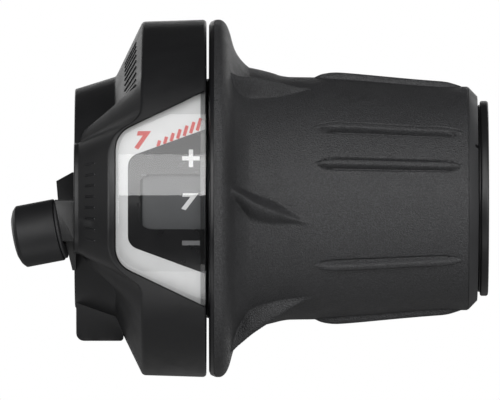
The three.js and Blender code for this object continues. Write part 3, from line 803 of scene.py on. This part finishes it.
def grip_cover():
    """The rubber's ribbed outside, closed over both ends and through its smooth bore."""
    angles = np.arange(0, 360, 0.5)
    stretches = ((GRIP_X0, 24, 22), (24.1, 33, 56), (33.25, 41, 34), (41.5, 56, 22), (56.3, 60.2, 22))
    xs = np.concatenate([np.linspace(*stretch) for stretch in stretches])
    outer_r = grip_radius(xs[None, :], angles[:, None])
    bore_x, bore_r = np.array(
        [
            [GRIP_X1 - 0.04, 17.16], [GRIP_X1, 17.1], [GRIP_X1, 14.75], [GRIP_X1 - 0.15, GRIP_BORE_R],
            [GRIP_X0 + 0.15, GRIP_BORE_R], [GRIP_X0, 14.75], [GRIP_X0, 27.35],
        ]
    ).T
    each = (len(angles), len(bore_x))
    x = np.concatenate([np.broadcast_to(xs, outer_r.shape), np.broadcast_to(bore_x, each)], 1)
    r = np.concatenate([outer_r, np.broadcast_to(bore_r, each)], 1)
    return skin("grip_cover", polar(x, r, angles[:, None]), 50)


def grip_core():
    """The hard tube inside the rubber, with the plate behind its flange and a step that closes the gap."""
    return turned(
        "grip_core",
        [
            [17.9, TUBE_R0, 0.1], [17.9, 13.8, 0.2], [20.26, 13.8, 0.05], [20.26, 18.4, 0.1],
            [20.6, 18.4, 0.1], [20.6, 26.6, 0.1], [20.85, 27.15, 0.2], [21.38, 27.4, 0.05],
            [21.38, TUBE_R1, 0.1], [LIP_X1, TUBE_R1, 0.15], [LIP_X1, TUBE_R0, 0.15],
        ],
        180,
    )


def grip_collar():
    """The bevelled lip outboard of the rubber, with the small notch of its mould."""
    inner_r = TUBE_R1 + 0.02
    corners = [[60.42, inner_r, 0], [60.42, 17.18, 0.06], [LIP_X1, 15.7, 0.08], [LIP_X1, inner_r, 0]]
    notch = rod("notch", polar(61.62, 15, 30), polar(61.62, 18, 30), 0.3, 12)
    return cleaned(combine(turned("grip_collar", corners, 180), notch, "DIFFERENCE"))


# ---- small parts -------------------------------------------------------------------------------------
def end_flange():
    """The flat ring at the outboard end, on a short boss."""
    corners = [
        [61.97, BAR_BORE_R, 0.1], [61.97, END_BOSS_R, 0.1], [62.25, END_BOSS_R, 0.05], [62.25, 15, 0.3],
        [63.5, 15, 0.35], [63.5, BAR_BORE_R, 0.2],
    ]
    return turned("end_ring", corners)


def sleeve():
    """The liner that the grip turns on."""
    return turned("sleeve", [[8.4, 11.25, 0.1], [8.4, 12.2, 0.1], [61.9, 12.2, 0.1], [61.9, 11.25, 0.1]])


def on_cable(obj):
    """Moves an object turned round the bar's axis onto the cable adjuster's axis."""
    return moved(obj, CABLE_ORIGIN, aimed(CABLE_AXIS))


def adjuster():
    """Round knob, the seal under it and the hollow screw inside. Profiles start at the block's face."""
    knob = turned(
        "adjuster_cap",
        [
            [0.5, 2.05, 0.1], [0.5, 4.75, 0.2], [6.4, 4.75, 0.35], [6.95, 4.15, 0.6], [7.35, 3.2, 0.3],
            [7.4, 2.55, 0.15], [5.2, 2.55, 0.1], [5.2, 2.05, 0.1],
        ],
        96,
    )
    place(on_cable(knob), KNOB, BARREL, "shell_plastic", "adjuster_barrel")
    flat = [[0.06, 2.3, 0.1], [0.06, 4.5, 0.1], [0.42, 4.5, 0.1], [0.42, 2.3, 0.1]]
    seal = turned("adjuster_ring", flat, 64)
    place(on_cable(seal), HOUSING, SOFT, "soft_rubber", "adjuster_seal")
    thread = [[-3.8, 0.9, 0], [-3.8, 1.7, 0]]
    for s in np.arange(-3.6, 4.0, 0.2):
        thread += [[s, 1.9, 0], [s + 0.1, 1.72, 0]]
    thread += [[4.2, 1.7, 0], [4.2, 0.9, 0]]
    screw = turned("hollow_screw", thread, 40)
    place(on_cable(screw), CORE, STEEL, "steel", "adjuster_screw")


def cross_bolt():
    """The clamp's bolt and washer, which run along +Y through the lug."""
    along_y = ((BOLT_X, 0, BOLT_Z), Matrix.Rotation(math.radians(90), 4, "Z"))
    corners = [
        [-3.1, 0.05, 0], [-3.1, 1.95, 0.3], [7.4, 1.95, 0.05], [7.4, 3.3, 0.25], [10.9, 3.3, 0.45],
        [10.9, 0.05, 0],
    ]
    bolt = moved(turned("cross_bolt", corners, 72), *along_y)
    hexagon = rod("socket", (BOLT_X, 8.8, BOLT_Z), (BOLT_X, 12, BOLT_Z), 1.75, 6)
    place(cleaned(combine(bolt, hexagon, "DIFFERENCE")), HOUSING, STEEL, "steel", "clamp_bolt")
    flat = [[6.6, 2.1, 0.1], [6.6, 3.5, 0.15], [7.25, 3.5, 0.15], [7.25, 2.1, 0.1]]
    washer = turned("bolt_washer", flat, 72)
    place(moved(washer, *along_y), HOUSING, STEEL, "steel", "clamp_washer")


def port_plug():
    """The domed plug over the hole that the cable is changed through."""
    plug = turned("plug_cap", [[25.75, 0.05, 0], [25.75, 2.28, 0.2], [27.9, 2.28, 0.5], [27.9, 0.05, 0]], 48)
    moved(plug, (PLUG_X, 0, 0), aimed(polar(0, 1, PLUG_DEG)))
    place(plug, HOUSING, SOFT, "soft_rubber", "port_plug")


def carrier_screws():
    """Pan-head screws with a cross slot, one in each recess behind."""
    corners = [
        [6.5, 0.04, 0], [6.5, 1.6, 0.35], [7.4, 1.6, 0.1], [7.4, 0.8, 0.05], [12.6, 0.8, 0.2],
        [12.6, 0.04, 0],
    ]
    for k, angle in enumerate(SCREW_DEG):
        at = polar(0, SCREW_R, angle)
        screw = moved(turned(f"pan_screw_{k + 1}", corners, 48), at)
        slots = []
        for turn_deg in (0, 90):
            slot = prism("slot", [[5.5, -0.16], [7.0, -0.16], [7.0, 0.16], [5.5, 0.16]], -0.95, 0.95)
            slots.append(moved(slot, at, Matrix.Rotation(math.radians(turn_deg), 4, "X")))
        cross = combine(*slots, "UNION")
        piece = cleaned(combine(screw, cross, "DIFFERENCE"))
        place(piece, HOUSING, STEEL, "steel", f"carrier_screw_{k + 1}")


def hidden_nodes():
    """CAD pieces that stay as they are and only get a finish."""
    finishes = {
        "clamp_insert": BRASS, "detent_carrier": INNER, "detent_spring": STEEL, "thrust_washer": LINER,
        "cable_guide": LINER, "cable_drum": INNER, "index_ring": INNER, "drum_clip": STEEL,
    }
    for name, mat in finishes.items():
        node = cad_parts[name]
        node.data.materials.clear()
        node.data.materials.append(mat)


# ---- stage, in metres --------------------------------------------------------------------------------
AIM = Vector((0.02, -0.02, 0))
LIGHT_DISTANCE = 0.62
LIGHTS = (  # name, azimuth (0 is in front, 90 to the right), elevation, width and height, radiance
    ("front_low", 0, 15, (0.34, 0.286), 3.0),
    ("front_high", 0, 41.5, (0.34, 0.3), 1.6),
    ("front_left", -42, 7, (0.35, 0.45), 2.8),
    ("front_right", 42, 7, (0.35, 0.45), 2.8),
    ("left", -85, 10, (0.3, 0.4), 0.25),
    ("right", 85, 10, (0.3, 0.4), 0.5),
    ("back_left", -142, 10, (0.4, 0.4), 1.1),
    ("back_right", 142, 10, (0.4, 0.4), 1.2),
    ("back", 180, 8, (0.3, 0.3), 1.2),
)
CARD_Z, CARD_WIDTH = -0.034, 0.16
CARDS = (  # name, y, depth, radiance
    ("card_below", 0.012, 0.076, 0.15),
    ("card_in_front", -0.038, 0.018, 0.9),
)
WORLD = 0.05  # strength of the light from all round
FLOOR_Z, FLOOR_R, FLOOR_SIDES = -0.04, 0.42, 96
CAMERA_DISTANCE, VIEW_WIDTH, SENSOR = 2.6, 0.076923, 36


def soft_panel(name, size, radiance):
    """A rectangular light that shines down and that the camera doesn't see."""
    data = bpy.data.lights.new(name, "AREA")
    data.shape, data.size, data.size_y = "RECTANGLE", *size
    data.energy = 4 * radiance * size[0] * size[1]
    obj = linked(name, data)
    obj.visible_camera = False
    return obj


def lights():
    """Panels round the part, and cards just under it that shine up as a pale table does."""
    for name, azimuth, elevation, size, radiance in LIGHTS:
        a, e = math.radians(azimuth), math.radians(elevation)
        away = Vector((math.sin(a) * math.cos(e), -math.cos(a) * math.cos(e), math.sin(e)))
        panel = soft_panel(name, size, radiance)
        panel.location = AIM + away * LIGHT_DISTANCE
        panel.rotation_euler = away.to_track_quat("Z", "Y").to_euler()
    for name, y, depth, radiance in CARDS:
        card = soft_panel(name, (CARD_WIDTH, depth), radiance)
        card.location = (AIM.x, y, CARD_Z)
        card.rotation_euler = (math.pi, 0, 0)


def ground():
    """A plain pale round floor."""
    turns = [2 * math.pi * k / FLOOR_SIDES for k in range(FLOOR_SIDES)]
    rim = [(FLOOR_R * math.cos(a), FLOOR_R * math.sin(a), FLOOR_Z) for a in turns]
    mesh = bpy.data.meshes.new("floor")
    mesh.from_pydata(rim, [], [tuple(range(FLOOR_SIDES))])
    floor = linked("floor", mesh)
    floor.visible_glossy = floor.visible_diffuse = False
    n = Nodes("pale_floor")
    tone = n.mix(n.patches(40, 4), rgba(0.86), rgba(0.88))
    glow = {"Emission Color": rgba(1.0), "Emission Strength": 0.3}
    mesh.materials.append(n.principled({"Base Color": tone, "Roughness": 0.8, **glow}))


def surroundings():
    """White behind everything, with only a little light from all round."""
    world = bpy.data.worlds.new("studio")
    bpy.context.scene.world = world
    world.use_nodes = True
    tree = world.node_tree
    tree.nodes.clear()
    path = tree.nodes.new("ShaderNodeLightPath")
    both = tree.nodes.new("ShaderNodeMixShader")
    tree.links.new(path.outputs["Is Camera Ray"], both.inputs[0])
    for slot, strength in ((1, WORLD), (2, 1.0)):
        background = tree.nodes.new("ShaderNodeBackground")
        background.inputs["Color"].default_value = rgba(1.0)
        background.inputs["Strength"].default_value = strength
        tree.links.new(background.outputs[0], both.inputs[slot])
    out = tree.nodes.new("ShaderNodeOutputWorld")
    tree.links.new(both.outputs[0], out.inputs[0])


def camera():
    """A long lens straight in front. The view is VIEW_WIDTH across at the bar's axis."""
    data = bpy.data.cameras.new("camera")
    data.sensor_width = SENSOR
    data.lens = SENSOR * CAMERA_DISTANCE / VIEW_WIDTH
    data.clip_start, data.clip_end = 0.01, 20
    obj = linked("camera", data)
    obj.location = (0.0269, -CAMERA_DISTANCE, -0.00025)
    obj.rotation_euler = (math.radians(90), 0, 0)
    bpy.context.scene.camera = obj
    bpy.context.scene.view_settings.view_transform = "Standard"


# ---- build -------------------------------------------------------------------------------------------
camera()
ground()
surroundings()
lights()
place(shell(), HOUSING, SHELL, "shell_plastic", "housing_body")
# The bars on the cone and on the pillar take the darker hard plastic: painted shade, so that the raised bars
# read as shadowed grooves.
hatch = slope_ribs("hatch_ribs", HATCH_DEG, *HATCH_X, 0.22, 0.16)
place(hatch, HOUSING, TUBE, "shell_plastic")
marks = slope_ribs("pillar_ribs", MARKS_DEG, *MARKS_X, 0.2, 0.1)
place(marks, HOUSING, TUBE, "shell_plastic")
place(lens(), HOUSING, CLEAR, "clear_lens", "window_lens")
dial()
dial_signs()
# the strip along the lens's outboard edge is painted shade
place(edge_tint(), HOUSING, EDGE_SHADE_GLASS, "clear_lens")
number_ring()
place(grip_cover(), GRIP, GRIP_RUBBER, "grip_rubber", "grip_rubber")
place(grip_core(), GRIP, TUBE, "hard_plastic", "grip_tube")
place(grip_collar(), GRIP, COLLAR, "soft_rubber")
place(end_flange(), HOUSING, SHELL, "hard_plastic", "end_flange")
place(sleeve(), HOUSING, INNER, "inner_plastic", "bar_sleeve")
adjuster()
cross_bolt()
port_plug()
carrier_screws()
hidden_nodes()
